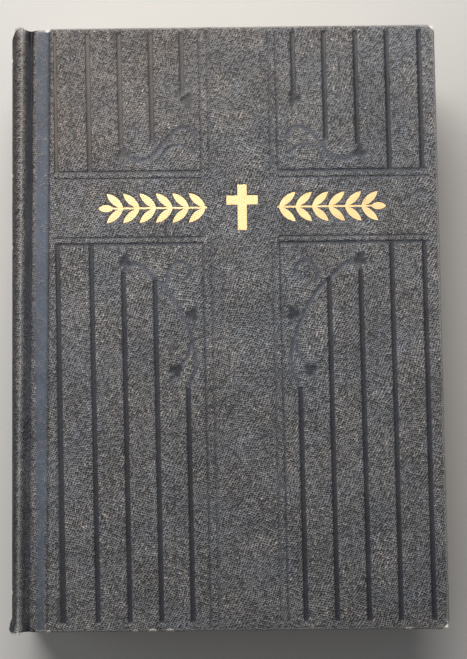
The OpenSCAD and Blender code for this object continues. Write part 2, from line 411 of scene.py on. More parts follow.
def bookClothMaterial():
    look = clothLook
    material, tree, shader = newMaterial("stampedBookCloth")
    here = restPlace(tree)
    grain = place(tree, "clothGrain", {"Place": here, "Pitch": look["pitch"], "Drift": look["drift"]})
    mottle = place(tree, "dustMottle", {"Place": here, "Size": look["mottleSize"]})
    wear = place(tree, "edgeWear", {"Place": here, "Wear": mark(tree, "wear"), "Scale": 0.8})
    bare = place(tree, "edgeWear", {"Place": here, "Wear": mark(tree, "bare"), "Scale": 0.7})
    pressed = mark(tree, "pressed")
    flat = maths(tree, "MAXIMUM", times(tree, pressed, look["flatInLines"]), mark(tree, "smoothed"))
    parts = node(tree, "ShaderNodeSeparateXYZ", {0: here})
    across, along = parts.outputs["X"], parts.outputs["Y"]
    quiet = remap(tree, along, look["quietFrom"], look["quietTo"])

    chance = remap(tree, grain["Chance"], 0.0, 1.0, *look["pebbleRange"])
    pits = times(tree, grain["Pit"], remap(tree, quiet, 0.0, 1.0, 1.0, look["quietPits"]))
    # the pits of the grain are painted dark as shade
    colour = mixColour(tree, pits, shaded(tree, look["top"], chance), look["pitShade"])
    # worn pebble tops made paler, partly wear and partly a painted glint
    wornGlintTint = mixColour(tree, remap(tree, mottle["Warmth"], 0.35, 0.65), look["coolWornGlint"], look["dustAndGlint"])
    colour = mixColour(tree, times(tree, grain["WornGlint"], look["wornGlintAmount"]), colour, wornGlintTint)
    slope = maths(tree, "SUBTRACT", along, times(tree, across, 0.75))
    # faded cloth with a painted warm light and sheen towards the head and the spine
    fadedAndLit = remap(tree, slope, look["fadedAndLitFrom"], look["fadedAndLitTo"])
    colour = mixColour(tree, fadedAndLit, colour, mixColour(tree, 1.0, colour, look["fadedAndLitTint"], "MULTIPLY"))
    pressedTone = mixColour(tree, fadedAndLit, look["pressed"], look["fadedAndLitPressed"])
    # stamped lines painted dark, partly as shade in the sunk lines
    colour = mixColour(tree, flat, colour, mixColour(tree, pressed, look["smoothWithReflection"], pressedTone))
    colour = mixColour(tree, times(tree, wear["Rubbed"], look["rubbedAmount"]), colour, look["rubbed"])
    # painted shade from the mark of the same name
    colour = mixColour(tree, mark(tree, "paintedShade"), colour, look["paintedShade"])
    colour = mixColour(tree, bare["Broken"], colour, look["core"])
    tone = times(tree, remap(tree, mottle["Tone"], 0.3, 0.7, *look["toneRange"]),
                 remap(tree, quiet, 0.0, 1.0, 1.0, look["quietTone"]))
    # painted shade, darker towards the tail
    tailShade = remap(tree, along, look["tailShadeFrom"], look["tailShadeTo"], look["tailShadeTone"], 1.0)
    tone = times(tree, tone, tailShade)
    colour = shaded(tree, colour, tone)
    colour = mixColour(tree, times(tree, mottle["Dust"], look["dustAmount"]), colour, look["dustAndGlint"])
    tree.links.new(colour, shader.inputs["Base Color"])

    rough = remap(tree, grain["Pit"], 0.0, 1.0, 0.5, 0.75)
    rough = maths(tree, "SUBTRACT", rough, times(tree, pressed, 0.12))
    tree.links.new(rough, shader.inputs["Roughness"])
    shader.inputs["Specular IOR Level"].default_value = 0.24
    standing = maths(tree, "SUBTRACT", 1.0, times(tree, flat, 0.9))
    standing = times(tree, standing, remap(tree, quiet, 0.0, 1.0, 1.0, look["quietBump"]))
    raised = times(tree, grain["Height"], standing)
    sunk = times(tree, pressed, look["lineBump"])
    addBump(tree, shader, maths(tree, "SUBTRACT", raised, sunk), look["depth"])
    return material


def foilMaterial():
    material, tree, shader = newMaterial("rubbedGoldFoil")
    here = framePlace(tree)
    grain = place(tree, "clothGrain",
                  {"Place": here, "Pitch": clothLook["pitch"], "Drift": clothLook["drift"]})
    wear = place(tree, "edgeWear", {"Place": here, "Wear": 0.16, "Scale": 1.3})
    mottle = place(tree, "dustMottle", {"Place": here, "Size": 5.0})
    gold = mixColour(tree, mottle["Tone"], (0.80, 0.52, 0.22, 1), (0.97, 0.74, 0.41, 1))
    loss = times(tree, wear["Broken"], grain["Pit"], True)
    colour = mixColour(tree, loss, gold, (0.10, 0.08, 0.055, 1))
    tree.links.new(colour, shader.inputs["Base Color"])
    tree.links.new(remap(tree, loss, 0.0, 1.0, 0.55, 0.0), shader.inputs["Metallic"])
    tree.links.new(remap(tree, mottle["Warmth"], 0.3, 0.7, 0.34, 0.5), shader.inputs["Roughness"])
    addBump(tree, shader, grain["Height"], 0.03)
    return material


def paperMaterial(name, colour, foxed, fromFrame=False):
    material, tree, shader = newMaterial(name)
    here = framePlace(tree) if fromFrame else restPlace(tree)
    fibre = place(tree, "paperFibre", {"Place": here, "Scale": 2.2})
    mottle = place(tree, "dustMottle", {"Place": here, "Size": 32.0})
    paint = mixColour(tree, remap(tree, mottle["Tone"], 0.35, 0.7), colour, foxed)
    paint = mixColour(tree, times(tree, fibre["Fleck"], 0.18), paint, foxed)
    tree.links.new(paint, shader.inputs["Base Color"])
    tree.links.new(remap(tree, fibre["Height"], 0.3, 0.7, 0.7, 0.88), shader.inputs["Roughness"])
    addBump(tree, shader, fibre["Height"], 0.02)
    return material


def leavesMaterial():
    # thin leaves seen on edge: fine level lines, and a blank page face
    material, tree, shader = newMaterial("bibleLeaves")
    here = restPlace(tree)
    layered = vectorMaths(tree, "MULTIPLY", here, (0.012, 0.02, 8.0))
    lines = noiseOf(tree, layered, 1.0, 3.0, 0.7).outputs["Fac"]
    thick = vectorMaths(tree, "MULTIPLY", here, (0.01, 0.02, 0.9))
    broad = remap(tree, noiseOf(tree, thick, 1.0, 2.0).outputs["Fac"], 0.45, 0.7)
    edge = mark(tree, "leafEdge")
    mottle = place(tree, "dustMottle", {"Place": here, "Size": 24.0})
    page = mixColour(tree, mottle["Tone"], (0.80, 0.75, 0.63, 1), (0.70, 0.63, 0.49, 1))
    stripe = mixColour(tree, remap(tree, lines, 0.36, 0.66), (0.44, 0.35, 0.23, 1), (0.84, 0.75, 0.58, 1))
    stripe = mixColour(tree, times(tree, broad, 0.4), stripe, (0.50, 0.39, 0.25, 1))
    colour = mixColour(tree, edge, page, stripe)
    tree.links.new(colour, shader.inputs["Base Color"])
    tree.links.new(remap(tree, lines, 0.3, 0.7, 0.85, 0.7), shader.inputs["Roughness"])
    addBump(tree, shader, times(tree, lines, edge), 0.14)
    return material


def boardMaterial():
    material, tree, shader = newMaterial("greyBoard")
    here = framePlace(tree)
    fibre = place(tree, "paperFibre", {"Place": here, "Scale": 1.4})
    colour = mixColour(tree, fibre["Height"], (0.62, 0.57, 0.48, 1), (0.80, 0.76, 0.68, 1))
    colour = mixColour(tree, times(tree, fibre["Fleck"], 0.4), colour, (0.30, 0.26, 0.21, 1))
    tree.links.new(colour, shader.inputs["Base Color"])
    tree.links.new(remap(tree, fibre["Height"], 0.3, 0.7, 0.8, 0.92), shader.inputs["Roughness"])
    addBump(tree, shader, fibre["Height"], 0.05)
    return material


def wovenMaterial(name, thread, gapColour, pitch, fromFrame=True):
    material, tree, shader = newMaterial(name)
    here = framePlace(tree) if fromFrame else restPlace(tree)
    weave = place(tree, "weave", {"Place": here, "Pitch": pitch})
    mottle = place(tree, "dustMottle", {"Place": here, "Size": 9.0})
    colour = mixColour(tree, weave["Hole"], thread, gapColour)
    colour = mixColour(tree, times(tree, mottle["Tone"], 0.3), colour, gapColour)
    tree.links.new(colour, shader.inputs["Base Color"])
    tree.links.new(remap(tree, weave["Height"], 0.0, 1.0, 0.92, 0.78), shader.inputs["Roughness"])
    addBump(tree, shader, weave["Height"], 0.08)
    return material


def bandMaterial():
    # thread wraps of two colours over a core
    material, tree, shader = newMaterial("endBandThread")
    here = restPlace(tree)
    wrap = mark(tree, "wrap")
    colour = mixColour(tree, remap(tree, wrap, 0.45, 0.55), (0.72, 0.66, 0.52, 1), (0.055, 0.065, 0.10, 1))
    strand = noiseOf(tree, here, 6.0, 3.0).outputs["Fac"]
    colour = mixColour(tree, times(tree, strand, 0.35), colour, (0.45, 0.40, 0.32, 1))
    tree.links.new(colour, shader.inputs["Base Color"])
    tree.links.new(remap(tree, strand, 0.3, 0.7, 0.6, 0.8), shader.inputs["Roughness"])
    addBump(tree, shader, strand, 0.05)
    return material


def floorMaterial():
    material, tree, shader = newMaterial("paleFloor")
    here = framePlace(tree)
    tone = noiseOf(tree, here, 0.01, 2.0).outputs["Fac"]
    colour = mixColour(tree, tone, (0.50, 0.492, 0.478, 1), (0.53, 0.522, 0.508, 1))
    tree.links.new(colour, shader.inputs["Base Color"])
    shader.inputs["Roughness"].default_value = 0.8
    return material


clothMaterial = bookClothMaterial()
endpaperMaterial = paperMaterial("creamEndpaper", (0.76, 0.71, 0.59, 1), (0.71, 0.63, 0.48, 1))
leafMaterial = leavesMaterial()
threadMaterial = bandMaterial()
print("materials made")

# the pattern pressed into the front cover, in millimetres on the face
stamp = {
    "headEnd": 96.4, "tailEnd": -95.8,
    "upperRule": 49.5, "upperThin": 47.3, "lowerRule": 25.5, "lowerThin": 27.7,
    "ribWidth": 1.45, "hairWidth": 0.35, "levelWidths": (1.0, 0.55),
    "hairAbove": 13, "hairBelow": 16,      # the hairlines between the ribs stop short of the band
    "depth": 0.24, "foilDepth": 0.13,
    "leftRibs": (-12.5, -22.6, -32.8, -43.1, -54.1),
    "rightRibs": (23.8, 33.9, 44.2, 54.4, 65.0),
    "borders": ((-6.7, 0.55), (18.2, 0.55)),
    "innerLines": ((-3.9, 0.9), (16.0, 0.9)),
    # where each rib stops above the band, and where it starts below it, from the middle outwards
    "upperStops": (75.5, 59.5, 58.0, 49.5, 49.5),
    "lowerStarts": (-21.5, 14.0, 16.8, 25.5, 25.5),
    # scrolls to the right of the middle line; the left ones are their mirror image
    "stem": ((38.0, 18.0), (33.5, 18.6), (29.0, 14.6), (23.6, 9.1), (19.1, 0.9), (16.4, -6.5),
             (15.4, -14.5), (17.6, -20.8)),
    "twig": ((17.0, -7.0), (18.2, -11.6), (21.0, -14.8)),
    "lowerBuds": ((38.2, 19.8, 0), (16.4, 2.2, 1), (21.6, -16.0, 2)),
    "budTails": ((0.4, -4.2), (-1.2, -3.6), (3.2, -4.0)),
    "spiral": (19.9, 15.8, 4.8),           # middle and radius
    "upperStem": ((14.9, 61.4), (17.0, 64.0), (21.4, 63.4), (26.2, 58.4), (29.4, 54.6), (34.2, 53.2),
                  (38.8, 55.4)),
    "upperTwig": ((15.8, 55.6), (20.0, 58.4), (24.2, 57.2), (27.0, 53.4)),
    "upperBuds": ((17.6, 73.6, 1), (38.8, 55.6, 0)),
}

sheet = {
    "edgeRadius": 1.1,                 # of the cloth where it goes over the board's edge
    "underRadius": 0.6,
    "rollSteps": 8,
    "rollLength": 4.4,
    "stripX": foldX + 3.5,             # where the cover's own cloth meets the hinge's
    "stampedStep": 0.62,
    "plainStep": 1.1,
    "edgeDepth": (1.2, 3.4),           # of the rolled edge, beside the groove and round the board
    # middles and sizes of the spots where the cloth is worn through to the board
    "worn": ((foreX - 0.8, halfHeight - 0.8, 1.8), (foreX - 1.0, 1.0 - halfHeight, 2.4)),
    "wornFront": ((foldX + 6.9, halfHeight - 0.3, 1.5), (foldX + 8, -halfHeight, 1.5),
                  (-24, -halfHeight, 2.4), (-18.5, -halfHeight, 2.0), (-29.5, -halfHeight, 1.6),
                  (57, -halfHeight, 1.8)),
}
# the last mark is painted shade
clothMarks = ("wear", "bare", "pressed", "smoothed", "paintedShade")


def evenMarks(count, wear):
    found = {name: [0.0] * count for name in clothMarks}
    found["wear"] = wear
    return found


def addMarks(marks, *values):
    for name, value in zip(clothMarks, values):
        marks[name].append(value)


def rowsOverEnds(coreY, ys):
    # rows along the cloth, and the steps that take it over both ends; the second value is 0 on the flat
    steps = [k / sheet["rollSteps"] for k in range(1, sheet["rollSteps"] + 1)]
    return [(-coreY, -t) for t in reversed(steps)] + [(y, 0.0) for y in ys] + [(coreY, t) for t in steps]

# height of the front cover's face across the hinge and the groove
grooveKnots = ((foldX + 3.5, 38.15), (foldX + 5.2, 38.12), (foldX + 6.2, 38.12), (foldX + 6.85, 38.35),
               (foldX + 7.3, 38.95), (foldX + 7.65, 39.5), (foldX + 8.05, 39.82), (foldX + 8.7, 39.97),
               (foldX + 9.5, 40.0))
grooveCurve = smoothCurve(grooveKnots, 8)


def faceZ(x):
    if x >= grooveCurve[-1][0]:
        return thickness
    k = bisect_left(grooveCurve, (x, 0.0))
    if k == 0:
        return grooveCurve[0][1]
    (xa, za), (xb, zb) = grooveCurve[k - 1], grooveCurve[k]
    return min(thickness, mixed(za, zb, (x - xa) / (xb - xa)))


def clothRoll(t, depth):
    # how far out from the core and how far down the cloth is, t from 0 to 1 over the edge
    outer, under = sheet["edgeRadius"], sheet["underRadius"]
    first, second = 0.3 * depth, 0.22 * depth
    if t < 0.4:
        turn = t / 0.4 * math.pi / 2
        return outer * math.sin(turn), first * (1 - math.cos(turn))
    if t < 0.7:
        return outer, mixed(first, depth - second, (t - 0.4) / 0.3)
    turn = (t - 0.7) / 0.3 * math.pi / 2
    return outer - under * (1 - math.cos(turn)), depth - second * (1 - math.sin(turn))


def slantAt(x):
    # the stamped lines lean a little, most near the spine
    lean = -0.0133 + 0.00016 * x
    return lean * smoothStep(foldX + 8.5, foldX + 11, x) * smoothStep(foreX - 1.5, foreX - 4, x)


def ribSpans():
    # middle, width, the stretches that each upright line covers, and how firmly it is pressed
    head, tail = stamp["headEnd"], stamp["tailEnd"]
    upper, lower = stamp["upperRule"], stamp["lowerRule"]
    found = []
    for ribs in (stamp["leftRibs"], stamp["rightRibs"]):
        for x, stop, start in zip(ribs, stamp["upperStops"], stamp["lowerStarts"]):
            found.append((x, stamp["ribWidth"], ((stop, head), (tail, start)), 1.0))
        for a, b in zip(ribs, ribs[1:]):
            spans = ((upper + stamp["hairAbove"], head), (tail, lower - stamp["hairBelow"]))
            found.append(((a + b) / 2, stamp["hairWidth"], spans, 0.3))
    full = ((upper, head), (tail, lower))
    found += [(x, width, full, 0.7) for x, width in stamp["borders"]]
    found += [(x, width, full, 0.5) for x, width in stamp["innerLines"]]
    return found


def levelSpans():
    # height, width, left end, right end and firmness of each level line
    wide, thin = stamp["levelWidths"]
    levels = ((stamp["upperRule"], wide, 0.8), (stamp["upperThin"], thin, 0.7),
              (stamp["lowerThin"], thin, 0.7), (stamp["lowerRule"], wide, 0.8))
    left = (stamp["leftRibs"][-1] - 1.2, stamp["borders"][0][0])
    right = (stamp["borders"][1][0], stamp["rightRibs"][-1] + 1.2)
    return [(y, width, low, high, firm) for low, high in (left, right) for y, width, firm in levels]


def scrollDots():
    # small round touches that together press the scrolls: x, y, radius, strength; first stalks, then buds
    stalks, buds = [], []

    def along(target, knots, radius, strength=0.9, taper=0.0):
        curve = smoothCurve(knots, 26)
        for n, (x, y) in enumerate(curve):
            target.append((x, y, radius * (1 - taper * n / len(curve)), strength))

    def bud(x, y, kind):
        reach = 1.15
        for n in range(3):
            turn = math.radians(90 + 120 * n + 25 * kind)
            buds.append((x + reach * math.cos(turn), y + reach * math.sin(turn), 1.25, 1.0))
        buds.append((x, y, 1.2, 1.0))
        dx, dy = stamp["budTails"][kind]
        along(buds, ((x, y), (x + dx * 0.4, y + dy * 0.6), (x + dx, y + dy)), 0.9, 0.8, 0.6)

    along(stalks, stamp["stem"], 0.6)
    along(stalks, stamp["twig"], 0.55)
    along(stalks, stamp["upperStem"], 0.65)
    along(stalks, stamp["upperTwig"], 0.55, taper=0.4)
    for x, y, kind in stamp["lowerBuds"] + stamp["upperBuds"]:
        bud(x, y, kind)
    cx, cy, radius = stamp["spiral"]
    turn, shrink = 0.62, 0.62              # radians from one knot of the curl to the next, and its narrowing
    curl = []
    for n in range(10):
        reach = radius * (1 - shrink * n / 9)
        curl.append((cx + reach * math.cos(n * turn - 0.6), cy + reach * math.sin(n * turn - 0.6)))
    along(stalks, curl, 0.55, taper=0.2)

    def bothSides(touches):
        return [(stampX + side * x, y, r, s) for side in (-1, 1) for x, y, r, s in touches]

    return bothSides(stalks), bothSides(buds)


foil = {
    "height": 15.0,
    "leafPairs": 6, "leafWidth": 2.4, "leafAngle": 42, "endLeaf": 5,
    "sprayStart": 11.5, "sprayLength": 35.5,
}


def foilDots():
    # the hollow that the gilding lies in, a little wider than the foil itself
    dots = []

    def touch(x, y, radius):
        dots.extend((stampX + side * x, titleY + y, radius, 1.0) for side in (1, -1))

    def line(x0, y0, x1, y1, radius):
        count = max(2, int(math.hypot(x1 - x0, y1 - y0) / 0.3))
        for n in range(count + 1):
            touch(mixed(x0, x1, n / count), mixed(y0, y1, n / count), radius)

    def leaf(x, y, length, angle):
        turn = math.radians(angle)
        for n in range(25):
            t = n / 24
            half = foil["leafWidth"] / 2 * 4 * t * (1 - t) + 0.25
            touch(x + t * length * math.cos(turn), y + t * length * math.sin(turn), half)

    tall = foil["height"]
    for offset in (-0.9, 0, 0.9):
        line(offset, 0.9 - tall / 2, offset, tall / 2 - 0.9, 0.85)
        line(0, tall * 0.16 + offset, tall * 0.34 - 0.7, tall * 0.16 + offset, 0.85)
    start, length, last = foil["sprayStart"], foil["sprayLength"], foil["endLeaf"]
    step = length / (foil["leafPairs"] + 0.6)
    line(start, 0, start + length - last + 1, 0, 0.5)
    for n in range(foil["leafPairs"]):
        for side in (-1, 1):
            leaf(start + 0.5 + n * step, 0, step * 1.35, side * foil["leafAngle"])
    leaf(start + length - last, 0, last, 0)
    return dots


def strokeDepth(distance, width):
    # how fully a line is pressed at a distance from its middle
    return 1 - smoothStep(width / 2 - 0.12, width / 2 + 0.2, abs(distance))


def grooveSmooth(over, y):
    # the groove is rubbed smooth at the head, and only along a narrow strip towards the foot
    headness = smoothStep(-90, 10, y)
    fromX, toX = mixed(3.6, 2.3, headness), mixed(6.0, 7.0, headness)
    patchy = 0.78 - 0.4 * wobble(over, y, 0, 2.5, 7.0)
    return patchy * smoothStep(fromX, fromX + 1.0, over) * smoothStep(toX + 0.9, toX, over)


def pressUprights(pressed, xs, ys):
    for x, width, spans, strength in ribSpans():
        for i in range(bisect_left(xs, x - width - 0.5), bisect_left(xs, x + width + 0.5)):
            across = strokeDepth(xs[i] - x, width) * strength
            if across <= 0:
                continue
            for j, y in enumerate(ys):
                along = max(smoothStep(low - 0.3, low + 0.3, y) * smoothStep(high + 0.3, high - 0.3, y)
                            for low, high in spans)
                pressed[i][j] = max(pressed[i][j], across * along)


def pressLevels(pressed, xs, ys):
    for y, width, low, high, strength in levelSpans():
        for j in range(bisect_left(ys, y - 1.2), bisect_left(ys, y + 1.2)):
            down = strokeDepth(ys[j] - y, width) * strength
            for i in range(bisect_left(xs, low), bisect_left(xs, high) + 1):
                pressed[i][j] = max(pressed[i][j], down)


def pressDots(target, dots, soft, xs, ys):
    for x, y, reach, strength in dots:
        near = reach + soft
        lean = slantAt(x) * y
        for i in range(bisect_left(xs, x - lean - near - 0.6), bisect_left(xs, x - lean + near + 0.6)):
            px = xs[i] + slantAt(xs[i]) * y
            if abs(px - x) > near:
                continue
            for j in range(bisect_left(ys, y - near), bisect_left(ys, y + near)):
                gap = math.hypot(px - x, ys[j] - y)
                amount = strength * (1 - smoothStep(reach - soft, near, gap))
                target[i][j] = max(target[i][j], amount)


def stampedFace(xs, ys):
    # how far each point of the face is pressed by lines and buds, by the foil, and by the scrolls' stalks
    lines, foiled, stalked = ([[0.0] * len(ys) for _ in xs] for _ in range(3))
    stalks, buds = scrollDots()
    pressUprights(lines, xs, ys)
    pressLevels(lines, xs, ys)
    pressDots(stalked, stalks, 0.3, xs, ys)
    pressDots(lines, buds, 0.4, xs, ys)
    pressDots(foiled, foilDots(), 0.25, xs, ys)
    return lines, foiled, stalked


def faceColumns(coreX, back):
    stops = [foldX + s for s in (5.2, 6.7, 7.1, 7.5, 7.9, 8.3, 8.8, 9.3)]
    if back:
        return spread(sheet["stripX"], coreX, sheet["plainStep"], stops)
    for x, width, _, _ in ribSpans():
        stops += [x] + [x + side * (width / 2 + extra) for side in (-1, 1) for extra in (-0.12, 0.2)]
    return spread(sheet["stripX"], coreX, sheet["stampedStep"], stops)


def faceRows(coreY, back):
    if back:
        return spread(-coreY, coreY, sheet["plainStep"])
    stops = [y + side * (width / 2 + extra) for y, width, _, _, _ in levelSpans()
             for side in (-1, 1) for extra in (-0.12, 0.2)]
    return spread(-coreY, coreY, sheet["stampedStep"], stops)


def coverSheet(back):
    # the cloth over the face and round three edges of a board
    coreX, coreY = foreX - sheet["edgeRadius"], halfHeight - sheet["edgeRadius"]
    xs, ys = faceColumns(coreX, back), faceRows(coreY, back)
    steps = sheet["rollSteps"]
    columns = [(x, 0.0) for x in xs] + [(coreX, k / steps) for k in range(1, steps + 1)]
    rows = rowsOverEnds(coreY, ys)
    maps = None if back else stampedFace(xs, ys)
    worn = sheet["worn"] if back else sheet["worn"] + sheet["wornFront"]
    points, unfolded = [], []
    marks = {name: [] for name in clothMarks}
    for i, (x, tx) in enumerate(columns):
        depth = mixed(*sheet["edgeDepth"], smoothStep(foldX + 7.2, foldX + 8.4, x))
        for j, (y, ty) in enumerate(rows):
            line, foiled, stalk = 0.0, 0.0, 0.0
            if maps and tx == 0 and ty == 0:
                line, foiled, stalk = (found[i][j - steps] for found in maps)
            px = x + (slantAt(x) * y if tx == 0 else 0)
            t = max(tx, abs(ty))
            out, drop = clothRoll(t, depth)
            length = math.hypot(tx, ty) or 1.0
            ragged = 0.12 * wobble(px, y, 0, 3.0, 4.0) * min(1.0, 2 * t)
            px += (out + ragged) * tx / length
            py = y + (out + ragged) * ty / length
            z = (faceZ(x) if tx == 0 else thickness) - drop
            z -= stamp["depth"] * max(line, 0.6 * stalk) + stamp["foilDepth"] * foiled
            z += 0.05 * (wobble(px, y, 0, 9.0, 2.0) - 0.6) * (1 - t)
            corner = max(0.0, 1 - math.hypot(foreX - px, halfHeight - abs(py)) / 6.0)
            z -= 0.35 * corner * corner * (1 if y < 0 else 0.5) * (1 - t)
            tucked = 1.1 * smoothStep(0.62, 1.0, corner)          # worn, blunted corners
            px -= tucked
            py -= tucked * (1 if y > 0 else -1)
            points.append(flipped((px, py, z), back))
            unfolded.append((px - out * tx / length + tx * sheet["rollLength"],
                             y + ty * sheet["rollLength"], 90.0 if back else 0.0))

            edge = min(foreX - px, halfHeight - abs(py))
            rubbed = 1.15 * math.exp(-max(edge - 0.25, 0) / 0.6) * (1 - 0.7 * smoothStep(0.45, 0.9, t))
            shoulder = math.exp(-((px - (foldX + 8.7)) / 0.7) ** 2)
            spot = max(math.exp(-((px - sx) ** 2 + (py - sy) ** 2) / (size * size)) for sx, sy, size in worn)
            # the last mark is painted shade in the crease where the face steps up out of the groove
            addMarks(marks, rubbed + 0.1 * shoulder + 0.7 * corner,
                     0.98 * spot * max(smoothStep(0.05, 0.3, t), smoothStep(1.5, 0.9, edge)),
                     max(line, 0.8 * foiled, 0.6 * stalk),
                     max(grooveSmooth(x - foldX, y), 0.9 * stalk),
                     0.45 * math.exp(-((px - (foldX + 7.5)) / 0.35) ** 2))
    side = "back" if back else "front"
    return makePiece(side + "_cover_cloth", points, gridFaces(len(columns), len(rows), back), clothMaterial,
                     body=side + "_cover", replaces=[side + "_cloth"],
                     marks=marks, unfolded=unfolded)


frontSheet = coverSheet(False)
coverSheet(True)
print("cover cloth made", len(frontSheet.data.polygons), "faces")

hinge = {
    # the cloth's route from the cover over the groove and up to the top of the ridge
    "knots": ((foldX + 3.5, 38.15), (foldX + 2.7, 38.05), (foldX + 1.9, 37.6), (foldX + 1.2, 37.2),
              (foldX + 0.5, 37.45), (foldX - 0.1, 38.2), (foldX - 0.7, 39.2), (foldX - 1.4, 39.85)),
    "cuts": (foldX + 3.5, foldX + 1.2, foldX - 0.1, foldX - 1.4),      # where it is parted, cover to spine
    "edgeDepth": 1.2,
    "arcHalf": 16.0, "arcRise": 0.6,       # the shallow round of the spine
    "ridgeSteps": 12, "arcSteps": 16,
    "rowStep": 1.6, "spineStep": 0.6,
    "rules": (88.5, 86.4, 49.5, 47.3, 27.7, 25.5, -84.0, -86.1),       # pressed across the spine
    "wideRules": (88.5, 49.5, 25.5, -86.1),
    "lean": (-0.25, 1.1),                  # how far the front edge of the spine stands out, tail to head
}


def casePath():
    # the outline of the cloth from the front cover round to the back one, the back being the front's mirror
    low, middle = caseLow.x, thickness / 2
    half, rise = hinge["arcHalf"], hinge["arcRise"]
    radius = (half * half + rise * rise) / (2 * rise)
    ridgeX, ridgeZ = hinge["knots"][-1]
    top = smoothCurve(hinge["knots"], 5)
    for n in range(1, hinge["ridgeSteps"] + 1):
        turn = math.pi / 2 * (1 - n / hinge["ridgeSteps"])
        top.append((ridgeX - (ridgeX - low - rise) * math.cos(turn),
                    middle + half + (ridgeZ - middle - half) * math.sin(turn)))
    for n in range(1, hinge["arcSteps"] + 1):
        z = middle + half * (1 - n / hinge["arcSteps"])
        top.append((low + radius - math.sqrt(radius ** 2 - (z - middle) ** 2), z))
    return top + [(x, thickness - z) for x, z in reversed(top[:-1])]


def pathNormals(path):
    found = []
    for k in range(len(path)):
        a, b = path[max(0, k - 1)], path[min(len(path) - 1, k + 1)]
        dx, dz = b[0] - a[0], b[1] - a[1]
        length = math.hypot(dx, dz)
        found.append((dz / length, -dx / length))
    found[0] = (0.0, 1.0)
    found[-1] = (0.0, -1.0)
    return found


outline = casePath()
normals = pathNormals(outline)
lengths = [0.0]
for a, b in zip(outline, outline[1:]):
    lengths.append(lengths[-1] + math.hypot(b[0] - a[0], b[1] - a[1]))


def spineRule(y):
    return max(strokeDepth(y - at, 1.0 if at in hinge["wideRules"] else 0.5) for at in hinge["rules"])


def stripMarks(over, z, y, end, rule, onSpine):
    # over is how far a point is on the cover's side of the fold, end how far from the head or tail
    ridge = math.exp(-((over + 1.5) / 0.75) ** 2)
    valley = math.exp(-((over - 1.1) / 0.75) ** 2)
    headness = smoothStep(-60, 95, y)
    endWear = 0.3 * math.exp(-end)
    if onSpine or ridge > 0.3:
        endWear = 0.6 * math.exp(-max(end - 0.3, 0) / 1.6)
    wear = (0.62 * ridge + endWear + 0.25 * math.exp(-((over + 0.4) / 0.5) ** 2)
            + 0.45 * math.exp(-((over - 3.05) / 0.22) ** 2) * smoothStep(-60, 60, y))
    bare = 0.9 * ridge * math.exp(-(end / 1.2) ** 2)
    if onSpine:
        bare = max(bare, 0.7 * math.exp(-(end / 0.8) ** 2))
    flat = smoothStep(-0.6, 0.4, over) * smoothStep(1.9, 1.2, over) * mixed(0.4, 0.9, headness)
    # painted shade: in the dark gap at the head, on the side of the spine that curves away from the light,
    # and in the groove's valley
    headGapShade = math.exp(-((over - 1.0) / 0.9) ** 2) * smoothStep(92, 97, abs(y))
    headGapShade *= 1.3 if y > 0 and z > thickness / 2 else 0.35
    spineSideShade = 0.72 * smoothStep(-1.9, -2.9, over) * smoothStep(24, 38, z) if onSpine else 0.0
    paintedShade = min(1.0, valley * mixed(0.6, 0.98, headness) + headGapShade + spineSideShade)
    return wear, 0.8 * bare, 0.8 * rule, max(flat, grooveSmooth(over, y)), paintedShade


def caseStrip(name, first, last, blend=None):
    # a length of cloth along the outline from one point of it to another; without a blend it is the spine's
    coreY = halfHeight - sheet["edgeRadius"]
    onSpine = blend is None
    step = hinge["spineStep"] if onSpine else hinge["rowStep"]
    stops = [y + d for y in hinge["rules"] for d in (-0.6, -0.35, 0.35, 0.6)] if onSpine else ()
    rows = rowsOverEnds(coreY, spread(-coreY, coreY, step, stops))
    points, unfolded = [], []
    marks = {name: [] for name in clothMarks}
    for k in range(first, last + 1):
        x, z = outline[k]
        nx, nz = normals[k]
        over = x - foldX
        ridge = math.exp(-((over + 1.5) / 0.75) ** 2)
        valley = math.exp(-((over - 1.1) / 0.75) ** 2)
        inner = k not in (0, len(outline) - 1)
        outer = smoothStep(-1.6, -3.2, over) * smoothStep(20, 33, z) if onSpine else 0.0
        for y, ty in rows:
            out, drop = clothRoll(abs(ty), hinge["edgeDepth"])
            rule = spineRule(y) if onSpine and abs(z - thickness / 2) < 18.5 else 0.0
            fray = 0.5 * wobble(x * 3, z * 3, y, 2.2, 5.0) * smoothStep(0.2, 0.9, abs(ty))
            bulge = 0.10 * wobble(x, z, y, 7.0, 3.0) * (1 - abs(ty)) * (0.3 + 0.7 * ridge) * inner
            crack = 0.3 * valley * smoothStep(0.0, 0.5, wobble(0, y, 0, 14.0, 1.0))
            push = -drop - 0.2 * rule - crack + bulge
            py = y + (out + fray) * (1 if ty > 0 else -1 if ty < 0 else 0)
            # the spine leans a little, and its tail end is splayed
            splay = smoothStep(-93.5, -97.5, y) * (0.9 + 0.5 * wobble(x, z, y, 1.6, 9.0))
            swung = outer * (mixed(*hinge["lean"], (y + halfHeight) / (2 * halfHeight)) + splay)
            py -= 2.2 * outer * smoothStep(-2.4, -4.4, over) * smoothStep(88, 98, y)
            points.append((x + nx * push - swung, py, z + nz * push - 0.5 * outer * splay))
            unfolded.append((sheet["stripX"] - lengths[k], y + ty * 1.8, 0.0))
            addMarks(marks, *stripMarks(over, z, y, halfHeight - abs(py), rule, onSpine))
    piece = makePiece(name, points, gridFaces(last - first + 1, len(rows), True), clothMaterial,
                      body="spine" if onSpine else None,
                      replaces=["spine_cloth"] if onSpine else (), marks=marks, unfolded=unfolded)
    if blend:
        a, b, startX, endX = blend
        z = outline[first][1]
        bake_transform(piece)


def cutNear(x):
    # the point of the front half of the outline nearest to x, leaving out the spine's round
    def gap(k):
        onRound = abs(outline[k][1] - thickness / 2) < 16.5
        return abs(outline[k][0] - x) + (100 if onRound else 0)

    return min(range(len(outline) // 2), key=gap)


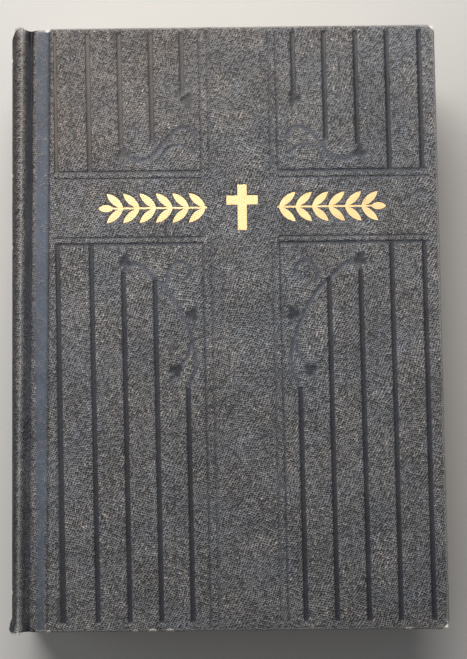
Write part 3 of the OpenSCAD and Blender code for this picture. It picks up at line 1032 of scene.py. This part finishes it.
def hingeStrips(side, block, cuts):
    # three lengths of cloth across a hinge, from the cover to the spine, each with the two parts at its ends
    # and the stretch it spans
    bends = (("joint", side + "_flyleaf", side + "_cover"), ("crease", block, side + "_flyleaf"),
             ("shoulder", "spine", block))
    for (part, a, b), start, to in zip(bends, cuts, cuts[1:]):
        blend = (a, b, outline[to][0], outline[start][0])
        yield min(start, to), max(start, to), side + "_" + part + "_cloth", blend


frontCuts = [cutNear(x) for x in hinge["cuts"]]
backCuts = [len(outline) - 1 - k for k in frontCuts]
strips = [*hingeStrips("front", "upper_block", frontCuts), *hingeStrips("back", "lower_block", backCuts),
          (frontCuts[-1], backCuts[-1], "rounded_spine_cloth", None)]
for first, last, name, blend in sorted(strips, key=lambda strip: strip[0]):
    caseStrip(name, first, last, blend)
print("spine and hinge cloth made")


folded = {
    "width": 14.6, "thick": 0.45, "ragged": 0.25,
    "xStep": 3.0, "yStep": 4.0, "mitreSteps": 5, "across": 5,
}


def turnIn(back):
    # the cloth folded in over the inside of a board, mitred at its two corners
    outerX = foreX - sheet["underRadius"]
    outerY = halfHeight - sheet["underRadius"]
    innerX, innerY = outerX - folded["width"], outerY - folded["width"]
    steps = [n / folded["mitreSteps"] for n in range(1, folded["mitreSteps"] + 1)]
    # pairs of outer and inner points, from the joint along the head, round the corner and down the fore edge
    route = [((x, outerY), (x, innerY)) for x in spread(sheet["stripX"], innerX, folded["xStep"])]
    route += [((mixed(innerX, outerX, t), outerY), (innerX, innerY)) for t in steps]
    route += [((outerX, mixed(outerY, innerY, t)), (innerX, innerY)) for t in steps]
    tail = [((a[0], -a[1]), (b[0], -b[1])) for a, b in route]
    route += [((outerX, y), (innerX, y)) for y in spread(-innerY, innerY, folded["yStep"])[::-1][1:]]
    route += tail[::-1][1:]

    def at(i, j, k):
        outer, inner = route[i]
        t = j / (folded["across"] - 1)
        x, y = mixed(outer[0], inner[0], t), mixed(outer[1], inner[1], t)
        if t == 1:
            x += folded["ragged"] * wobble(x, y, 0, 3.0, 6.0)
            y += folded["ragged"] * wobble(y, x, 0, 3.0, 8.0)
        return flipped((x, y, insideZ + (folded["thick"] if k else 0)), back)

    points, faces = blockShell(len(route), folded["across"], 2, at, flip=back)
    edge = [0.35 * math.exp(-abs(halfHeight - abs(p[1])) / 1.2) for p in points]
    side = "back" if back else "front"
    return makePiece(side + "_turned_in_cloth", points, faces, clothMaterial, body=side + "_cover",
                     marks=evenMarks(len(points), edge))


pasted = {
    "fromX": foldX + 3.0,
    "xStep": 4.0, "yStep": 5.0,
    # where it steps up over the inner edge of the turned-in cloth
    "xStops": (53.6, 54.6, 55.4, 56.4), "xRamp": (54.2, 55.6),
    "yStops": (82.8, 83.8, 84.8), "yRamp": (82.8, 84.2),
}


def pastedown(back):
    top, bottom = insideZ, pasteLow.z
    xs = spread(pasted["fromX"], pasteHigh.x, pasted["xStep"], pasted["xStops"])
    yStops = [way * y for way in (-1, 1) for y in pasted["yStops"]]
    ys = spread(-leafHalfY, leafHalfY, pasted["yStep"], yStops)

    def at(i, j, k):
        x, y = xs[i], ys[j]
        over = max(smoothStep(*pasted["xRamp"], x), smoothStep(*pasted["yRamp"], abs(y)))
        rise = 0.16 * (1 - over) + 0.02 * wobble(x, y, 0, 20.0, 9.0)
        rim = 0.2 * wobble(x * 2, y * 2, 0, 8.0, 2.5) if i in (0, len(xs) - 1) else 0.0
        return flipped((x + 0.3 * rim, y, (top if k else bottom) + max(0.0, rise)), back)

    points, faces = blockShell(len(xs), len(ys), 2, at, flip=back)
    side = "back" if back else "front"
    return makePiece(side + "_pasted_endpaper", points, faces, endpaperMaterial, body=side + "_cover",
                     replaces=[side + "_pastedown"])


def paperSheet(name, x0, x1, z0, z1, back, body=None, blend=None, replaces=(), fine=False):
    xs = spread(x0, x1, 0.12 if fine else 5.0)
    ys = spread(-leafHalfY, leafHalfY, 8.0)

    def at(i, j, k):
        x, y = xs[i], ys[j]
        cockle = 0.0 if fine else 0.045 * wobble(x, y, 0, 34.0, 3.3) * smoothStep(0, 8, x - x0)
        return flipped((x, y, (z1 if k else z0) + cockle), back)

    points, faces = blockShell(len(xs), len(ys), 2, at, flip=back)
    piece = makePiece(name, points, faces, endpaperMaterial, body=body, replaces=replaces)
    if blend:
        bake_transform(piece)
    return piece


def endpapers(back):
    side = "back" if back else "front"
    block = "lower_block" if back else "upper_block"
    farX, paperX, jointX = pasted["fromX"], foldX + 0.4, foldX + 0.2
    pastedown(back)
    paperSheet(side + "_endpaper_joint", paperX, farX, pasteLow.z, insideZ, back,
               blend=(side + "_flyleaf", side + "_cover", paperX, farX), fine=True)
    paperSheet(side + "_free_endpaper", farX, leafForeX, leafLow.z, leafHigh.z, back,
               body=side + "_flyleaf", replaces=[side + "_flyleaf"])
    paperSheet(side + "_free_endpaper_joint", jointX, farX, leafLow.z, leafHigh.z, back,
               blend=(block, side + "_flyleaf", jointX, farX), fine=True)


for isBack in (False, True):
    turnIn(isBack)
    endpapers(isBack)
print("turned-in cloth and endpapers made")

sectionNames = sorted(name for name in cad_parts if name.startswith("text_section"))
leaves = {
    "levels": 7, "rim": 0.14,
    "hingeFrom": foldX + 1.0, "hingeTo": foldX - 1.5, "hingeStep": 0.11,
    "farXs": (61, 63.5), "xStep": 12.0, "yStep": 6.0,
    "low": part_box(sectionNames[0])[0].z / mm, "high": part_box(sectionNames[-1])[1].z / mm,
    "hollow": 2.6,             # depth of the hollow of the fore edge
    "slip": 0.12,              # how far a section may stand out of line
    "foldColumns": (0.0, 0.35, 0.7),
}


def foreEdgeX(z):
    half = (leaves["high"] - leaves["low"]) / 2
    t = (z - (leaves["low"] + leaves["high"]) / 2) / half
    return leafForeX - leaves["hollow"] * (1 - t * t)


def textSection(number):
    low, high = [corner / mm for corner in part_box(sectionNames[number - 1])]
    slip = random.Random(40 + number).uniform(-leaves["slip"], leaves["slip"])
    foldRadius = (high.z - low.z) / 2
    xs = [x for x in spread(leaves["hingeTo"], leaves["hingeFrom"], leaves["hingeStep"])
          if x > low.x + foldRadius]
    xs += [*spread(leaves["hingeFrom"], 58, leaves["xStep"])[1:], *leaves["farXs"]]
    ys = spread(-leafHalfY, leafHalfY, leaves["yStep"], (-leafHalfY + 0.6, leafHalfY - 0.6))
    count, folds = leaves["levels"], leaves["foldColumns"]
    nx = len(folds) + len(xs) + 1         # the last column is the fore edge

    def at(i, j, k):
        t = k / (count - 1)
        y, z = ys[j], mixed(low.z, high.z, t)
        bow = math.sqrt(max(0.0, 1 - (2 * t - 1) ** 2)) * foldRadius
        if i < len(folds):
            # the fold: from the round back to the first straight column
            x = mixed(low.x + foldRadius - bow, xs[0], folds[i])
        elif i < nx - 1:
            x = xs[i - len(folds)]
        else:
            x = foreEdgeX(z) + slip + 0.1 * wobble(0, y, z * 4, 6.0, number)
        atEnd = j in (0, len(ys) - 1)
        inward = leaves["rim"] if (i == nx - 1 or atEnd) and k in (0, count - 1) else 0
        z += inward * (0.5 if k == 0 else -0.5)
        if i == nx - 1:
            x -= inward
        if atEnd:
            y += (0.06 * wobble(x, 0, z * 4, 5.0, number + 3.0) - inward) * (1 if y > 0 else -1)
        return (x, y, z)

    points, faces = blockShell(nx, len(ys), count, at)
    edge = [1.0 if abs(y) > leafHalfY - 0.3 or x > foreEdgeX(z) - 0.5 or x < low.x + foldRadius else 0.0
            for x, y, z in points]
    piece = makePiece("leaves_%02d" % number, points, faces, leafMaterial,
                      replaces=[sectionNames[number - 1]], marks={"leafEdge": edge})
    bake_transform(piece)


for number in range(1, len(sectionNames) + 1):
    textSection(number)
print("sections of leaves made", len(sectionNames))

endBand = {"radius": 0.85, "sides": 14, "rings": 260, "wraps": 44, "bow": 1.2}


def wrappedBand(side):
    # a cord with two colours of thread wound over it, along the backs of the leaves
    name = side + "_band"
    low, high = [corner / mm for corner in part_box(name)]
    sign = 1 if side == "head" else -1
    sides, rings = endBand["sides"], endBand["rings"]
    y = sign * (leafHalfY + 0.15 + endBand["radius"])
    half = (high.z - low.z) / 2
    points, wrap = [], []
    for n in range(rings + 1):
        t = n / rings
        z = mixed(low.z + 0.2, high.z - 0.2, t)
        bow = endBand["bow"] * (1 - ((z - thickness / 2) / half) ** 2)
        x = high.x - 1.3 - bow
        phase = t * endBand["wraps"]
        ripple = abs(math.sin(math.pi * phase))
        taper = math.sqrt(max(0.0, 1 - abs(2 * t - 1) ** 24))
        radius = endBand["radius"] * (0.86 + 0.14 * ripple) * max(0.05, taper)
        for s in range(sides):
            turn = 2 * math.pi * s / sides
            points.append((x + radius * 1.2 * math.cos(turn), y + radius * math.sin(turn), z))
            wrap.append(float(int(phase / 2) % 2))
    faces = []
    for n in range(rings):
        for s in range(sides):
            a, b = n * sides + s, n * sides + (s + 1) % sides
            faces.append((a, b, b + sides, a + sides))
    faces.append(tuple(range(sides))[::-1])
    faces.append(tuple(rings * sides + s for s in range(sides)))
    makePiece(name + "_wrapped", points, faces, threadMaterial, body="spine", replaces=[name],
              marks={"wrap": wrap})


wrappedBand("head")
wrappedBand("tail")


fray = {"threads": 34, "rings": 5, "sides": 3, "width": 0.07}


def looseThreads(name, sign, seed):
    # short pulled threads where the cloth has frayed at the ends of the spine
    chance = random.Random(seed)
    rings, sides = fray["rings"], fray["sides"]
    points, faces = [], []
    for n in range(fray["threads"]):
        top = chance.random() < 0.6
        k = frontCuts[-1] + int(chance.uniform(0, 14 if top else 60))
        x, z = outline[k]
        nx, nz = normals[k]
        y = sign * (halfHeight - chance.uniform(0.1, 0.5))
        length, lean = chance.uniform(0.6, 1.7), chance.uniform(-0.7, 0.7)
        start = len(points)
        for m in range(rings):
            t = m / (rings - 1)
            off = -0.15 + 0.25 * math.sin(t * 3)
            cx = x + nx * off + lean * t * length * 0.6 * nz
            cz = z + nz * off - lean * t * length * 0.6 * nx
            cy = y + sign * length * t * (1 - 0.3 * t)
            w = fray["width"] * (1 - 0.7 * t)
            for a in range(sides):
                turn = 2 * math.pi * a / sides
                points.append((cx + w * math.cos(turn), cy, cz + w * math.sin(turn)))
        for m in range(rings - 1):
            for a in range(sides):
                p, q = start + sides * m + a, start + sides * m + (a + 1) % sides
                faces.append((p, q, q + sides, p + sides))
        faces.append((start, *range(start + sides - 1, start, -1)))
        faces.append(tuple(range(start + sides * (rings - 1), start + sides * rings)))
    makePiece(name, points, faces, clothMaterial, body="spine",
              marks=evenMarks(len(points), [0.5] * len(points)))


looseThreads("head_frayed_threads", 1, 11)
looseThreads("tail_frayed_threads", -1, 12)
print("end bands and loose threads made")

# finishes of the CAD pieces that stay
kept = {
    "gilt_ornament": foilMaterial(),
    "board": boardMaterial(),
    "mull": wovenMaterial("mullGauze", (0.72, 0.64, 0.48, 1), (0.35, 0.28, 0.18, 1), 1.0),
    "tapes": wovenMaterial("linenTape", (0.76, 0.71, 0.60, 1), (0.50, 0.43, 0.32, 1), 0.5),
    "thread": wovenMaterial("waxedThread", (0.80, 0.75, 0.64, 1), (0.55, 0.48, 0.36, 1), 0.3),
    "lining": paperMaterial("kraftLining", (0.46, 0.33, 0.19, 1), (0.34, 0.23, 0.12, 1), fromFrame=True),
}
finishes = {
    "gilt_ornament": "gilt_ornament", "front_board": "board", "back_board": "board",
    "front_mull_flap": "mull", "back_mull_flap": "mull", "spine_mull": "mull",
    "spine_inlay": "lining", "spine_lining": "lining", "sewing_tapes": "tapes", "sewing_thread": "thread",
}
for name, finish in finishes.items():
    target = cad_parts[name]
    for slot in target.material_slots:
        slot.material = kept[finish]
    if not target.material_slots:
        target.data.materials.append(kept[finish])
print("CAD pieces finished")

studio = {
    "floorSize": 12.0,
    "cameraPlace": (0.0051, -0.0454, 0.4584),
    "cameraTurn": (5.83, 0.41, -0.56),
    "lens": 71.0,
    "worldColour": (0.93, 0.95, 1.0, 1), "worldStrength": 0.15,
    # power, size, place, target, colour
    "headLight": (7.4, (0.6, 0.4), (-0.12, 0.46, 0.56), (0, 0.06, 0), (1.0, 0.97, 0.93)),
    "sideLight": (1.6, (0.5, 0.7), (-0.85, -0.02, 0.6), (0, 0, 0), (0.94, 0.97, 1.0)),
}
bpy.ops.mesh.primitive_grid_add(x_subdivisions=8, y_subdivisions=8, size=studio["floorSize"])
floor = bpy.context.object
floor.name = "paleFloor"
floor.data.materials.append(floorMaterial())


def softLight(name, power, size, location, target, colour):
    lamp = bpy.data.lights.new(name, "AREA")
    lamp.energy, lamp.shape, lamp.size, lamp.size_y = power, "RECTANGLE", size[0], size[1]
    lamp.color = colour
    holder = bpy.data.objects.new(name, lamp)
    bpy.context.collection.objects.link(holder)
    holder.location = location
    holder.rotation_euler = (Vector(target) - Vector(location)).to_track_quat("-Z", "Y").to_euler()


for name in ("headLight", "sideLight"):
    softLight(name, *studio[name])
world = bpy.data.worlds.new("studioWorld")
world.use_nodes = True
world.node_tree.nodes["Background"].inputs[0].default_value = studio["worldColour"]
world.node_tree.nodes["Background"].inputs[1].default_value = studio["worldStrength"]
bpy.context.scene.world = world

cameraData = bpy.data.cameras.new("viewCamera")
cameraData.lens = studio["lens"]
cameraData.sensor_width = 36.0
cameraData.clip_start = 0.01
camera = bpy.data.objects.new("viewCamera", cameraData)
bpy.context.collection.objects.link(camera)
camera.location = studio["cameraPlace"]
camera.rotation_euler = [math.radians(a) for a in studio["cameraTurn"]]
bpy.context.scene.camera = camera
bpy.context.scene.view_settings.view_transform = "Standard"
print("floor, lights and camera set")
